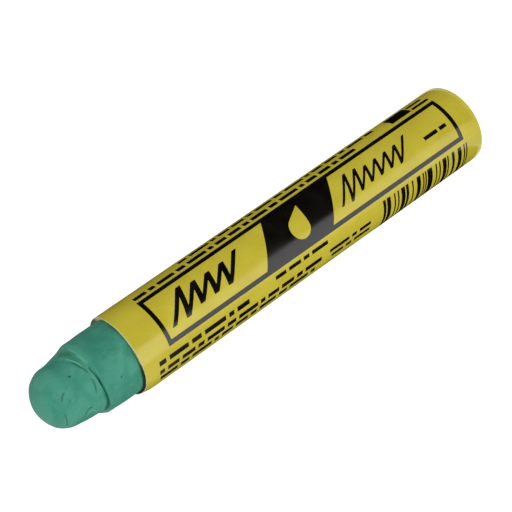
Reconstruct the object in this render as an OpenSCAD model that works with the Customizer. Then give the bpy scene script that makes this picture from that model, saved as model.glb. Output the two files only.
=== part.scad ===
// Solid paint marker: a cast stick of paint in a rolled paper sleeve with a printed label.
// The origin is at the centre of the sleeve's back end, +Z runs to the nose, and the middle
// of the printed panel faces -Y. Distances along the label are counted from the mouth of the
// sleeve, where the stick comes out, and heights on the label are arc lengths round it.

/* [Sleeve] */
// Outside diameter over the label
sleeve_d = 17.5; // [15:0.25:24]
// Length of the paper sleeve
sleeve_len = 100; // [99:1:140]
// Wall of the rolled kraft tube
tube_wall = 0.3; // [0.3:0.05:1]
// Thickness of the label's paper
label_t = 0.15; // [0.1:0.05:0.3]
// Width of the glued lap that closes the label
lap_w = 3; // [2:0.5:5]
// Width of the ramp where the lap climbs over the label's inner edge
lap_ramp = 0.8; // [0.5:0.1:1.5]
// Turn of the lap round the sleeve, away from the middle of the printed panel
lap_turn = 140; // [120:5:200]
// Slant of the cut at the mouth of the sleeve, in degrees
mouth_slant = 7; // [0:1:10]

/* [Stick] */
// Clearance between the stick and the tube, on the radius
stick_gap = 0.4; // [0.3:0.05:0.6]
// How far the stick sits off the middle of the tube
stick_shift = 0.1; // [0:0.05:0.2]
// Depth of the stick's back end inside the sleeve
end_recess = 0.8; // [0:0.1:3]
// Length of the nose beyond the sleeve
nose_len = 19.8; // [18:0.2:30]
// Length of the round skirt between the sleeve and the fold in the skin
skirt_len = 9.05; // [6:0.05:10]
// How much the skirt narrows towards the fold, on the radius
skirt_taper = 0.1; // [0:0.02:0.2]
// Step from the skirt down to the neck on the soft side of the nose, on the radius
soft_step = 0.65; // [0.4:0.05:1]
// Step from the skirt down to the neck on the side with the crease, on the radius
sharp_step = 1.08; // [0.6:0.02:1.3]
// How much thinner the neck is than the skirt where the tip starts, on the radius
tip_step = 1.54; // [1.3:0.02:2]
// Length of the rounded tip
tip_len = 5.1; // [3:0.1:7]
// Fullness of the tip: 2 is an ellipse, more is blunter
tip_power = 1.94; // [1.6:0.02:3]
// How far the tip leans to one side
nose_lean = 0.17; // [0:0.01:0.4]

/* [Folded skin] */
// How far the fold's edge wanders along the stick
fold_wave = 0.21; // [0:0.01:0.4]
// How far the fold's edge drops towards the sleeve on the back of the nose
fold_drop = 0.72; // [0:0.04:1]
// Depth of the main crease
crease_depth = 0.3; // [0:0.05:0.5]
// Height of the ridge beside the main crease
ridge_h = 0.16; // [0:0.02:0.3]
// Depth of the shallow creases beyond the ridge
crease2_depth = 0.18; // [0:0.02:0.3]
// Height of the small flap of skin
flap_h = 0.16; // [0:0.02:0.4]

/* [Label print] */
// Thickness of the ink film
ink_t = 0.03; // [0.02:0.01:0.06]
// Distance from the mouth to the printed frame
frame_start = 7.4; // [4:0.2:9]
// Length of the printed frame
frame_len = 87.5; // [80:0.5:89]
// Height of the printed frame, round the label
frame_h = 11; // [9:0.5:13]
// Width of the frame's rule
rule_w = 0.85; // [0.4:0.05:1.5]
// Distance from the mouth to the middle of the black panel
panel_mid = 47.9; // [42:0.2:54]
// Length of the black panel
panel_len = 19.6; // [14:0.2:24]
// Lean of the panel's ends, in degrees
panel_lean = 33; // [0:1:40]
// Radius of the open drop on the panel
drop_r = 2.5; // [1:0.1:3]
// Width of the bold scribble's stroke
bold_w = 1.25; // [0.6:0.05:1.6]
// Width of the fine scribble's stroke
fine_w = 0.75; // [0.4:0.05:1.2]
// Height of the plain dashes
dash_h = 0.85; // [0.4:0.05:1.2]
// Height of the small plain dashes
small_dash_h = 0.6; // [0.3:0.05:1]
// Length of the block of bars
bars_len = 26.6; // [15:0.2:28]
// Height of the block of bars, round the label
bars_h = 10; // [6:0.5:12]

/* [Hidden] */
$fn = 96;

label_r = sleeve_d / 2;
tube_r = label_r - label_t;
tube_bore_r = tube_r - tube_wall;
stick_r = tube_bore_r - stick_gap;
tip_r = stick_r - tip_step;
tip_start = nose_len - tip_len;

// Turns round the marker are counted in degrees from the middle of the printed panel: where
// the stick is shifted to, where the tip leans to and where the sleeve's mouth is highest
shift_side = -40;
lean_side = -80;
cut_side = 14;
// How far cutting tools reach past what they cut
cut_over = 0.5;
// The sleeve is made a little too long and then cut at its mouth
uncut_len = sleeve_len + cut_over;

// The turns between which the main crease grows, and between which it dies out
crease_turns = [-20, 55, 86, 110];
// The turns between which the neck's step grows from soft to sharp, and back again
step_turns = [-60, 40, 110, 180];
// The middle of the nose's front, how far its back is from there, and how soft that change is
front_side = 12;
back_from = 76;
back_soft = 30;
// Width of the step down to the neck on the front, beside the crease and on the back
front_width = 1.5;
sharp_width = 0.7;
back_width = 2.7;
// The edge of the fold wanders in two waves: how often each comes round, and its turn
fold_waves = [[2, 15], [3, 16]];
// The skirt narrows from this far before the fold over this length, and the tip leans over
// this length beyond the fold
taper_from = 7;
taper_len = 6;
lean_len = 9;
// The main crease and its ridge: distance beyond the fold's edge, and width
crease_form = [0.2, 0.2];
ridge_form = [0.62, 0.26];
// Two shallow creases: middle turn, reach, share of the depth, distance beyond the fold's
// edge at the start turn, how that grows for each degree, the start turn, and width
shallow_forms = [[-20, 45, 1, 0.85, -0.033, 4, 0.3], [22, 28, 0.7, 0.9, 0.017, 5, 0.22]];
// The small flap: turn, distance beyond the fold's edge, and width
flap_form = [97, 3.7, 1.8];

// The skin is lofted through rings: some round the fold, closer together near its edge,
// and some over the tip
ring_sides = 64;
rings_back = 12;
rings_ahead = 16;
rings_tip = 12;
ring_gap = 0.06;
ring_growth = 1.6;
tip_gap = 0.2;
// The nose grows out of the round bar inside the sleeve, from a root that is a little thinner
root_depth = 3;
root_len = 0.5;
root_set = 0.1;
drop_sides = 36;
// How far the drop's tip is from the middle of its belly, in radii of the belly
drop_reach = 2.1;

// Degrees round the label for each millimetre of arc
arc_turn = 180 / (PI * label_r);

// The scribbles: their tall reach and low reach from the middle, and their strokes; then
// where each starts, from the frame's start or the panel's middle, and its length
bold_reach = [3.3, 2.3, 9];
fine_reach = [3, 1.9, 13];
bold_from = 5;
bold_len = 17.6;
fine_from = 12.7;
fine_len = 19.6;
// The stroke that is tallest, as a turn of a full round over the scribble, and how wide that is
tall_at = 40;
tall_reach = 110;

// The lengths of the dashes in a row follow these words, with a space after each
word_space = 0.85;
mean_word = 3;
words = [3.4, 1.6, 4.6, 2.3, 5.2, 1.2, 3];
// Rows of plain dashes, above the frame and then below it: distance of the row's start
// from the frame's, length, height of its middle, height of its dashes, first word
row_up = frame_h / 2;
dash_rows = [
    [0.5, 64, row_up + 1.45, dash_h, 0],
    [14.8, 57.5, row_up + 3.8, dash_h, 3],
    [82.6, 4.4, row_up + 3.2, small_dash_h, 0],
    [82.6, 5, row_up + 1.5, small_dash_h, 4],
    [78.3, 6.8, -0.8, small_dash_h, 2],
    [-3.4, 25, -row_up - 2.3, dash_h, 1],
    [29.4, 15.3, -row_up - 1.5, small_dash_h, 6],
    [-3.4, 46, -row_up - 4.45, dash_h, 5],
    [-3.1, 44, -row_up - 6.3, dash_h, 2],
    [45.1, 12.4, -row_up - 4.1, small_dash_h, 4],
    [45.8, 11.5, -row_up - 5.7, small_dash_h, 0],
];

// The small solid block above the frame and the bars below it
frame_end = frame_start + frame_len;
block_from_end = 11.4;
block_len = 6;
block_low = row_up + 1.2;
block_h = 3.2;
bar_count = 19;
bars_past_frame = 0.6;
bars_top = -row_up - 1.2;

// Helpers for the skin's form
function mix(a, b, t) = a + (b - a) * t;
function smooth(x) = let (t = min(max(x, 0), 1)) t * t * (3 - 2 * t);
function apart(a, mid) = 180 - abs((a - mid + 720) % 360 - 180);
function fade(a, mid, reach) = let (d = apart(a, mid))
    d < reach ? (1 + cos(180 * d / reach)) / 2 : 0;
// 0 before the first turn of four, 1 between the middle two, and 0 after the last
function between(a, turns) = smooth((a - turns[0]) / (turns[1] - turns[0]))
    * (1 - smooth((a - turns[2]) / (turns[3] - turns[2])));
function hump(x, w) = exp(-pow(x / w, 2));
function side(a) = [-sin(a), -cos(a)];

// Distance of a ring from the fold's edge, and how strongly it follows the edge as it wanders
function ring_step(i) = sign(i) * ring_gap * pow(abs(i), ring_growth);
function follow(q) = q < 0
    ? smooth(1 - q / ring_step(-rings_back))
    : 1 - smooth(q / (tip_start - skirt_len));
function on_back(a) = smooth((apart(a, front_side) - back_from) / back_soft);
function waves(a, i = 0) = i == len(fold_waves) ? 0
    : cos(fold_waves[i][0] * (a - fold_waves[i][1])) + waves(a, i + 1);
function wander(a) = fold_wave * waves(a) - fold_drop * on_back(a);

// How deep the main crease is on each side of the marker
function crease(a) = between(a, crease_turns);

// Radius of the skin at q beyond the fold's edge: the skirt, the step down to the neck, the
// crease with its ridge, two shallow creases that run off it, and the small flap
function step_at(a) = mix(soft_step, sharp_step, between(a, step_turns));
function step_width(a) = front_width + (sharp_width - front_width) * crease(a)
    + (back_width - front_width) * on_back(a);
function bare_r(a, q) = let (step = step_at(a)) stick_r
    - skirt_taper * smooth((q + taper_from) / taper_len)
    - (step - skirt_taper) * smooth(q / step_width(a) + 0.5)
    - (tip_step - step) * smooth(q / (tip_start - skirt_len));
function shallow(a, q, form) =
    form[2] * fade(a, form[0], form[1]) * hump(q - form[3] - form[4] * (a - form[5]), form[6]);
function flap(a, q) = hump(norm([(a - flap_form[0]) / arc_turn, q - flap_form[1]]), flap_form[2]);
function skin_r(a, q) = bare_r(a, q)
    - crease_depth * crease(a) * hump(q - crease_form[0], crease_form[1])
    + ridge_h * crease(a) * hump(q - ridge_form[0], ridge_form[1])
    - crease2_depth * (shallow(a, q, shallow_forms[0]) + shallow(a, q, shallow_forms[1]))
    + flap_h * flap(a, q);

// How far the centre line of the nose leans off the stick's own at s beyond the mouth
function lean(s) = nose_lean * smooth((s - skirt_len) / lean_len);
function point_at(a, r, s) = concat(r * side(a) + lean(s) * side(lean_side), sleeve_len + s);

// One ring of points, counted the same way round at every height
function signed(a) = a > 180 ? a - 360 : a;
function fold_ring(i) = let (q = ring_step(i))
    [for (k = [0 : ring_sides - 1]) let (a = signed(360 * k / ring_sides))
        point_at(a, skin_r(a, q), skirt_len + q + wander(a) * follow(q))];
function round_ring(r, s) = [for (k = [0 : ring_sides - 1]) point_at(signed(360 * k / ring_sides), r, s)];
function tip_ring(i) = let (t = 90 * i / rings_tip)
    [for (k = [0 : ring_sides - 1]) let (a = signed(360 * k / ring_sides))
        point_at(a, tip_r * pow(cos(t), 2 / tip_power), tip_start + tip_len * pow(sin(t), 2 / tip_power))];

// Closes a stack of rings into a solid, with a flat bottom and a point on top
module loft(rings, top) {
    n = len(rings[0]);
    last = n * (len(rings) - 1);
    points = concat([for (ring = rings) each ring], [top]);
    faces = concat(
        [[for (k = [n - 1 : -1 : 0]) k]],
        [for (i = [0 : len(rings) - 2], k = [0 : n - 1]) let (m = (k + 1) % n)
            each [[n * i + k, n * i + m, n * (i + 1) + k], [n * i + m, n * (i + 1) + m, n * (i + 1) + k]]],
        [for (k = [0 : n - 1]) [last + k, last + (k + 1) % n, len(points) - 1]]);
    polyhedron(points, faces);
}

// The cast stick: a plain round bar inside the sleeve, and the nose with its folded skin
module paint_stick() {
    nose_rings = concat(
        [round_ring(stick_r - root_set, -root_depth), round_ring(stick_r, root_len - root_depth)],
        [for (i = [-rings_back : rings_ahead])
            if (skirt_len + ring_step(i) < tip_start - tip_gap) fold_ring(i)],
        [for (i = [0 : rings_tip - 1]) tip_ring(i)]);
    bar_end = sleeve_len - root_depth;
    color("#3f8f78")
        translate(stick_shift * concat(side(shift_side), 0)) {
            translate([0, 0, end_recess]) cylinder(r = stick_r, h = bar_end - end_recess);
            loft(nose_rings, point_at(0, 0, nose_len));
        }
}

// Cuts the sleeve off at its mouth, where the cut is highest at one side and drops to the other
module cut_mouth() {
    difference() {
        children();
        rotate([0, 0, -90 - cut_side])
            translate([label_r, 0, sleeve_len])
                rotate([0, -mouth_slant, 0])
                    translate([-3 * label_r, -2 * label_r, 0])
                        cube([4 * label_r, 4 * label_r, sleeve_d]);
    }
}

// The rolled kraft tube, open at both ends
module paper_tube() {
    color("#b99f78") cut_mouth()
        rotate_extrude()
            translate([tube_bore_r, 0]) square([tube_wall, uncut_len]);
}

// The label: a wrap round the tube, closed by a lap that climbs over its inner edge
module printed_label() {
    lap_angle = lap_w * arc_turn;
    ramp_angle = lap_ramp * arc_turn;
    lap_root = label_r - label_t / 2;
    color("#c8b738") cut_mouth() {
        rotate_extrude()
            translate([tube_r, 0]) square([label_t, uncut_len]);
        rotate([0, 0, lap_turn - 90]) {
            rotate_extrude(angle = lap_angle)
                translate([lap_root, 0]) square([label_r + label_t - lap_root, uncut_len]);
            linear_extrude(uncut_len)
                polygon([[lap_root, 0], [label_r + label_t, 0],
                    label_r * [cos(ramp_angle), -sin(ramp_angle)],
                    lap_root * [cos(ramp_angle), -sin(ramp_angle)]]);
        }
    }
}

// A field of film on the label: starts at x from the mouth, low is its lower edge
module field(x, length, low, height, under = 0, over = 0) {
    rotate([0, 0, low * arc_turn - 90])
        rotate_extrude(angle = height * arc_turn)
            translate([label_r - under, sleeve_len - x - length])
                square([ink_t + under + over, length]);
}

// Carries a flat drawing, x from the mouth and y up from the panel's middle, through the label
module through_label() {
    translate([0, 0, sleeve_len])
        rotate([90, 90, 0])
            linear_extrude(label_r + cut_over) children();
}

// Sideways place of a height on the round label, seen flat
function seen(y) = label_r * sin(y * arc_turn);

// A film on the front of the label in the shape of a flat drawing
module film() {
    intersection() {
        field(frame_start, frame_len, -frame_h / 2, frame_h);
        through_label() children();
    }
}

// A leaning four-sided panel between two heights
module slanted_panel(mid, length, height) {
    top = height / 2;
    shift = top * tan(panel_lean);
    polygon([[mid - length / 2 - shift, -seen(top)], [mid + length / 2 - shift, -seen(top)],
        [mid + length / 2 + shift, seen(top)], [mid - length / 2 + shift, seen(top)]]);
}

// A drop of paint: a round belly with straight sides up to a point
module drop(r) {
    reach = drop_reach * r;
    touch = acos(r / reach);
    polygon(concat([[reach, 0]],
        [for (i = [0 : drop_sides]) let (a = mix(touch, 360 - touch, i / drop_sides)) r * [cos(a), sin(a)]]));
}

// Where the line through p and q meets the line through r and s
function meet(p, q, r, s) = let (u = q - p, v = s - r) p + u * cross(r - p, v) / cross(u, v);

// A zigzag stroke drawn with a flat nib: it starts low, and w is the nib's width along x
module zigzag(points, w) {
    n = len(points) - 1;
    nib = [w / 2, 0];
    function notch(i) = meet(points[i - 1] + nib, points[i] + nib, points[i] - nib, points[i + 1] - nib);
    function above(i) = i % 2 == 1 ? [points[i] - nib, points[i] + nib]
        : i == 0 ? [points[0] - nib] : i == n ? [points[n] + nib] : [notch(i)];
    function below(i) = i % 2 == 0 ? [if (i < n) points[i] + nib, if (i > 0) points[i] - nib]
        : i == n ? [] : [notch(i)];
    polygon([for (i = [0 : n]) each above(i), for (i = [n : -1 : 0]) each below(i)]);
}

// Points of a leaning scribble, tall at its start and lower after it: the form holds the
// tall reach, the low reach and the number of strokes
function scribble(start, length, form) =
    [for (i = [0 : form[2]]) let (
        y = (i % 2 == 0 ? -1 : 1) * mix(form[1], form[0], fade(360 * i / form[2], tall_at, tall_reach)))
        [start + length * i / form[2] + y * tan(panel_lean), seen(y)]];

// A row of fields with the given widths and the gaps between them, spread over a length
module spread_row(x, length, low, height, widths, gaps) {
    last = len(widths) - 1;
    starts = [for (i = 0, at = 0; i <= last; at = at + widths[i] + gaps[i], i = i + 1) at];
    unit = length / (starts[last] + widths[last]);
    for (i = [0 : last]) field(x + starts[i] * unit, widths[i] * unit, low, height);
}

// A row of dashes of mixed lengths, like the words of a line; each row starts elsewhere in them
module dash_row(x, length, mid, height, first) {
    count = max(1, round(length / (word_space + mean_word)));
    spread_row(x, length, mid - height / 2, height,
        [for (i = [0 : count - 1]) words[(i + first) % len(words)]],
        [for (i = [0 : count - 1]) word_space]);
}

// A block of bars of mixed widths with mixed gaps
module bar_block(x, length, low, height) {
    spread_row(x, length, low, height,
        [for (i = [0 : bar_count - 1]) 1 + (i * i + i) % 3 + (i % 5 == 0 ? 1 : 0)],
        [for (i = [0 : bar_count - 1]) 1 + (i * 2 + floor(i / 3)) % 3]);
}

// The printed frame with its black panel, which an open drop shows the paper through
module framed_panel() {
    difference() {
        field(frame_start, frame_len, -frame_h / 2, frame_h);
        field(frame_start + rule_w, frame_len - 2 * rule_w, rule_w - frame_h / 2,
            frame_h - 2 * rule_w, cut_over, cut_over);
    }
    difference() {
        film() slanted_panel(panel_mid, panel_len, frame_h - rule_w);
        through_label()
            translate([panel_mid, 0]) rotate(90 - panel_lean) translate([-drop_r / 2, 0]) drop(drop_r);
    }
}

// All the black print: the frame, two scribbles, rows of dashes, a block and a row of bars
module label_print() {
    color("#1c1b18") {
        framed_panel();
        film() zigzag(scribble(frame_start + bold_from, bold_len, bold_reach), bold_w);
        film() zigzag(scribble(panel_mid + fine_from, fine_len, fine_reach), fine_w);
        for (row = dash_rows) dash_row(frame_start + row[0], row[1], row[2], row[3], row[4]);
        field(frame_end - block_from_end, block_len, block_low, block_h);
        bar_block(frame_end + bars_past_frame - bars_len, bars_len, bars_top - bars_h, bars_h);
    }
}

paint_stick();
paper_tube();
printed_label();
label_print();
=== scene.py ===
# %% [markdown]
# # Dressing a solid paint marker
# The CAD model gives the marker's true sizes: a cast stick of paint, a rolled paper tube,
# a yellow label wrapped round it and the black print. Here each of them gets a finely
# shaped piece and a material made of nodes, and a camera and soft light show them. The CAD
# stays where it is, and every new piece is made in its frame, in metres.

import math

import bmesh
import bpy
from mathutils import Matrix, Vector, kdtree, noise


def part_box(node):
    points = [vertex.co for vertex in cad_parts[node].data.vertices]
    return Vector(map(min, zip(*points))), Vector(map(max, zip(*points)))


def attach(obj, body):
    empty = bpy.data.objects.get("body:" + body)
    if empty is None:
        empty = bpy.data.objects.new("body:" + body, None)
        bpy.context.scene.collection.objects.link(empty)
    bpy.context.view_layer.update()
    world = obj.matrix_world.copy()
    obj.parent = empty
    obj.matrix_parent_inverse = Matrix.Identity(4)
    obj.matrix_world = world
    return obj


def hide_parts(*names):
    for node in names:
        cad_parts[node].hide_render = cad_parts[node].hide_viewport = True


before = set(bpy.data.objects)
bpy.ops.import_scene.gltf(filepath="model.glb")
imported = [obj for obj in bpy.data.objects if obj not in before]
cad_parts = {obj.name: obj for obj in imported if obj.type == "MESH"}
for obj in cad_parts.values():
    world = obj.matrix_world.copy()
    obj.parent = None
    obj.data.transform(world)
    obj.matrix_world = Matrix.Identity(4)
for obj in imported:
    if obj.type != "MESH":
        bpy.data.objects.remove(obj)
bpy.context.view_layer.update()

# %% [markdown]
# ## Sizes from the frame
# Nothing is measured twice: the sleeve's length, its radii and the length of the nose are
# read from the CAD nodes. Angles round the marker are counted from the middle of the
# printed panel, which faces -Y, and heights on the nose from the mouth of the sleeve.

# %% Read the sizes
MM = 0.001


def radius_of(node):
    """Half the width of a node, rounded to a hundredth of a millimetre."""
    low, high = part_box(node)
    return round((high.x - low.x) / 2 / MM, 2) * MM


tube_r = radius_of("paper_tube")
stick_r = radius_of("paint_stick")
label_r = round(-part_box("printed_label")[0].y / MM, 2) * MM
mouth = round(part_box("printed_label")[1].z / MM, 1) * MM
stick_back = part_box("paint_stick")[0].z
nose_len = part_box("paint_stick")[1].z - mouth
label_t = label_r - tube_r
print("radii, mm: tube", tube_r / MM, "stick", stick_r / MM, "label", label_r / MM)
print("mouth at", round(mouth / MM, 2), "and nose", round(nose_len / MM, 2), "mm beyond it")


# %% Helpers for places on the marker
def side(turn):
    """The direction out of the marker at a turn in degrees from the panel's middle."""
    return Vector((-math.sin(math.radians(turn)), -math.cos(math.radians(turn)), 0))


def turn_of(place):
    """The turn of a place, in degrees from the panel's middle."""
    return math.degrees(math.atan2(-place.x, -place.y))


def smooth(x):
    """Goes softly from 0 to 1 as x does."""
    x = min(max(x, 0), 1)
    return x * x * (3 - 2 * x)


def hump(x, width):
    """A soft hump of height 1 at 0."""
    return math.exp(-((x / width) ** 2))


def fade(turn, middle, reach):
    """1 at the middle turn, and softly down to 0 at a reach to each side."""
    away = abs((turn - middle + 180) % 360 - 180)
    return (1 + math.cos(math.pi * away / reach)) / 2 if away < reach else 0


print("the panel's middle faces", tuple(side(0)))

# %% [markdown]
# ## One way to finish every piece
# Each piece ends the same way: its doubles are merged, its normals point outwards, sharp
# corners stay sharp under smooth shading, and it rides on the marker's body in place of
# its CAD node. One helper does that, so no piece misses a step.


# %% Finish a piece
merge_within = 0.0005 * MM


def place_in_scene(name, bm, materials):
    """Turns a bmesh into an object at the origin, which is the marker's own frame."""
    mesh = bpy.data.meshes.new(name)
    bm.to_mesh(mesh)
    bm.free()
    for material in materials:
        mesh.materials.append(material)
    thing = bpy.data.objects.new(name, mesh)
    bpy.context.scene.collection.objects.link(thing)
    return thing


def finish_piece(name, bm, materials, node, corner=40):
    """Makes a finished piece that stands for its CAD node."""
    bmesh.ops.remove_doubles(bm, verts=bm.verts, dist=merge_within)
    bmesh.ops.recalc_face_normals(bm, faces=bm.faces)
    for face in bm.faces:
        face.smooth = True
    piece = place_in_scene(name, bm, materials)
    piece.data.set_sharp_from_angle(angle=math.radians(corner))
    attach(piece, "root")
    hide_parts(node)
    piece.data.calc_loop_triangles()
    print(name, len(piece.data.loop_triangles), "triangles")


print("doubles closer than", merge_within, "m are merged")

# %% [markdown]
# ## Materials are small node trees
# A material starts from one Principled shader. Noise textures on Object coordinates vary
# its colour and roughness and give the bump, so that the pattern sits in the piece.


# %% Materials and their patterns
def plain_material(name, roughness, specular):
    """A material with one Principled shader."""
    material = bpy.data.materials.new(name)
    material.use_nodes = True
    shader = material.node_tree.nodes["Principled BSDF"]
    shader.inputs["Roughness"].default_value = roughness
    shader.inputs["Specular IOR Level"].default_value = specular
    return material, material.node_tree, shader


def start_material(name, roughness, specular):
    """A plain material, with the Object coordinates that its patterns need."""
    material, tree, shader = plain_material(name, roughness, specular)
    return material, tree, shader, tree.nodes.new("ShaderNodeTexCoord").outputs["Object"]


def in_cells(tree, place, per_mm, along):
    """The place counted in cells, so many for each millimetre, and a share of it along z."""
    mapping = tree.nodes.new("ShaderNodeMapping")
    mapping.inputs["Scale"].default_value = [per_mm / MM * share for share in (1, 1, along)]
    tree.links.new(place, mapping.inputs["Vector"])
    return mapping.outputs["Vector"]


def noise_at(tree, place, per_mm, detail=4, warp=0.0, along=1):
    """Soft noise, for clouds, fibres and grain."""
    node = tree.nodes.new("ShaderNodeTexNoise")
    node.inputs["Scale"].default_value = 1.0
    node.inputs["Detail"].default_value = detail
    node.inputs["Distortion"].default_value = warp
    tree.links.new(in_cells(tree, place, per_mm, along), node.inputs["Vector"])
    return node.outputs["Fac"]


def cracks_at(tree, place, per_mm, wobble, along):
    """Distance to the nearest edge of a wobbly net of cells, for crumpled skin."""
    add = tree.nodes.new("ShaderNodeVectorMath")
    add.operation = "ADD"
    tree.links.new(in_cells(tree, place, per_mm, along), add.inputs[0])
    tree.links.new(wobble, add.inputs[1])
    node = tree.nodes.new("ShaderNodeTexVoronoi")
    node.feature = "DISTANCE_TO_EDGE"
    node.inputs["Scale"].default_value = 1.0
    tree.links.new(add.outputs["Vector"], node.inputs["Vector"])
    return node.outputs["Distance"]


def mark_at(tree, name):
    """A mark that the mesh itself carries, such as how deep a point lies in a fold."""
    node = tree.nodes.new("ShaderNodeAttribute")
    node.attribute_name = name
    return node.outputs["Fac"]


print("one cell for each millimetre is a scale of", 1 / MM)


# %% Colours and bumps
def between(tree, value, from_low, from_high, to_low, to_high):
    """Stretches a value from one range to another, softly and within the ends."""
    node = tree.nodes.new("ShaderNodeMapRange")
    node.interpolation_type = "SMOOTHSTEP"
    for socket, number in zip(("From Min", "From Max", "To Min", "To Max"),
                              (from_low, from_high, to_low, to_high)):
        node.inputs[socket].default_value = number
    tree.links.new(value, node.inputs["Value"])
    return node.outputs["Result"]


def maths(tree, operation, first, second):
    """A maths node; the second input is a number or the output of another node."""
    node = tree.nodes.new("ShaderNodeMath")
    node.operation = operation
    tree.links.new(first, node.inputs[0])
    if isinstance(second, float):
        node.inputs[1].default_value = second
    else:
        tree.links.new(second, node.inputs[1])
    return node.outputs["Value"]


def from_screen(red, green, blue):
    """A colour as it looks on a screen, 0 to 255, turned to the linear one of a shader."""
    return tuple(c / 12.92 if c <= 0.04045 else ((c + 0.055) / 1.055) ** 2.4
                 for c in (red / 255, green / 255, blue / 255))


def blend(tree, factor, first, second):
    """Mixes two colours; each is one from a screen or the output of another node."""
    node = tree.nodes.new("ShaderNodeMix")
    node.data_type = "RGBA"
    tree.links.new(factor, node.inputs["Factor"])
    for index, colour in ((6, first), (7, second)):
        if isinstance(colour, tuple):
            node.inputs[index].default_value = (*from_screen(*colour), 1)
        else:
            tree.links.new(colour, node.inputs[index])
    return node.outputs[2]


def tinted(tree, base, pattern, low, high, share, tint):
    """Lays a tint over a base, up to a share, as a pattern climbs from low to high."""
    return blend(tree, between(tree, pattern, low, high, 0, share), base, tint)


def add_bump(tree, shader, height, strength, depth_mm, after=None):
    """Feeds a height into the shader's normal, on top of an earlier bump."""
    node = tree.nodes.new("ShaderNodeBump")
    node.inputs["Strength"].default_value = strength
    node.inputs["Distance"].default_value = depth_mm * MM
    tree.links.new(height, node.inputs["Height"])
    if after is not None:
        tree.links.new(after, node.inputs["Normal"])
    tree.links.new(node.outputs["Normal"], shader.inputs["Normal"])
    return node.outputs["Normal"]


print("a middle grey of 128 is", [round(c, 3) for c in from_screen(128, 128, 128)])

# %% [markdown]
# ## Dried paint
# The stick is soft paint under a thin dried skin: a dull green with darker and greyer
# clouds, finely crumpled where it has shrunk. The clouds, the crumples and the pale rubbed
# threads are nodes. Where the skin is folded, rubbed or darker green, and where it gets
# painted shade in its creases, its pinhole and along the gap at the mouth, is known only
# when it is shaped, so the mesh carries a mark for each, and the material reads it as a colour.


# %% Make the dried paint
def dried_paint_material():
    material, tree, shader, place = start_material("dried_paint", 0.5, 0.28)
    clouds = noise_at(tree, place, 0.22, detail=3, warp=0.6)
    colour = tinted(tree, (44, 128, 106), clouds, 0.35, 0.65, 1, (60, 139, 116))
    dusty = noise_at(tree, place, 0.5, detail=5, warp=1.2, along=0.7)
    colour = tinted(tree, colour, dusty, 0.52, 0.74, 0.45, (84, 146, 122))
    wobble = noise_at(tree, place, 0.6)
    threads = cracks_at(tree, place, 0.45, wobble, 0.6)
    patches = between(tree, noise_at(tree, place, 0.3, detail=1), 0.45, 0.65, 0, 0.11)
    pale = maths(tree, "MULTIPLY", patches, between(tree, threads, 0.0, 0.05, 1, 0))
    colour = blend(tree, pale, colour, (112, 168, 148))
    # The first tint is painted shade, dark in the creases and in the pinhole.
    for name, low, share, tint in (("fold", 0.1, 0.9, (10, 78, 58)),
                                   ("rub", 0.0, 0.6, (98, 166, 142)),
                                   ("dark_green", 0.0, 0.7, (40, 106, 76))):
        colour = tinted(tree, colour, mark_at(tree, name), low, 1.0, share, tint)
    # The last tint is painted shade: a dark band where the stick leaves the gap at the mouth.
    colour = blend(tree, mark_at(tree, "gap_shade"), colour, (22, 48, 24))
    tree.links.new(colour, shader.inputs["Base Color"])
    tree.links.new(between(tree, dusty, 0.4, 0.7, 0.5, 0.66), shader.inputs["Roughness"])
    crumple = add_bump(tree, shader, threads, 0.2, 0.05)
    grain = noise_at(tree, place, 2.2, detail=6, warp=0.4)
    add_bump(tree, shader, grain, 0.3, 0.035, after=crumple)
    return material


dried_paint = dried_paint_material()
print("made", dried_paint.name, "with", len(dried_paint.node_tree.nodes), "nodes")

# %% [markdown]
# ## Label paper
# The label is smooth coated paper in a greenish yellow. Its coat has a faint cloudiness,
# fine fibres and tiny rubbed specks. The gloss is soft and varies a little, which keeps the
# broad sheen from looking like plastic. Its cut edge shows the cream paper under the coat,
# so that edge gets a material of its own.


# %% Make the label's papers
def label_paper_material():
    material, tree, shader, place = start_material("label_paper", 0.24, 0.39)
    clouds = noise_at(tree, place, 0.12, warp=0.3)
    colour = tinted(tree, (184, 170, 45), clouds, 0.3, 0.7, 1, (194, 180, 50))
    fibres = noise_at(tree, place, 2.4, detail=5, warp=0.8, along=0.35)
    colour = tinted(tree, colour, fibres, 0.5, 0.75, 0.3, (199, 187, 66))
    specks = noise_at(tree, place, 1.1, detail=8)
    colour = tinted(tree, colour, specks, 0.70, 0.76, 0.5, (150, 137, 34))
    tree.links.new(colour, shader.inputs["Base Color"])
    tree.links.new(between(tree, clouds, 0.3, 0.7, 0.2, 0.28), shader.inputs["Roughness"])
    waves = add_bump(tree, shader, noise_at(tree, place, 0.3, detail=2), 0.3, 0.06)
    add_bump(tree, shader, fibres, 0.2, 0.012, after=waves)
    return material


def cut_paper_material():
    material, tree, shader, place = start_material("cut_paper", 0.8, 0.2)
    fluff = noise_at(tree, place, 5.0, detail=5, warp=0.5)
    colour = tinted(tree, (224, 216, 166), fluff, 0.35, 0.7, 1, (243, 238, 208))
    # Painted shade darkens the cut edge on the sides of the mouth.
    colour = blend(tree, mark_at(tree, "rim_shade"), colour, (128, 112, 60))
    tree.links.new(colour, shader.inputs["Base Color"])
    add_bump(tree, shader, fluff, 0.6, 0.03)
    return material


label_paper = label_paper_material()
cut_paper = cut_paper_material()
print("made", label_paper.name, "and", cut_paper.name)

# %% [markdown]
# ## Kraft paper
# The tube is rolled from several turns of kraft paper. Its cut end is pale and shows the
# darker glue between the turns as thin rings, which follow the distance from the marker's
# axis. On the two sides of the mouth the cut end gets painted shade. Inside, the wall is dark
# brown with near black-green smears, as painted shade, so the narrow gap round the stick looks
# deep.


# %% Make the kraft paper
half_turn_t = 0.056  # half of one turn's thickness, in mm


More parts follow.
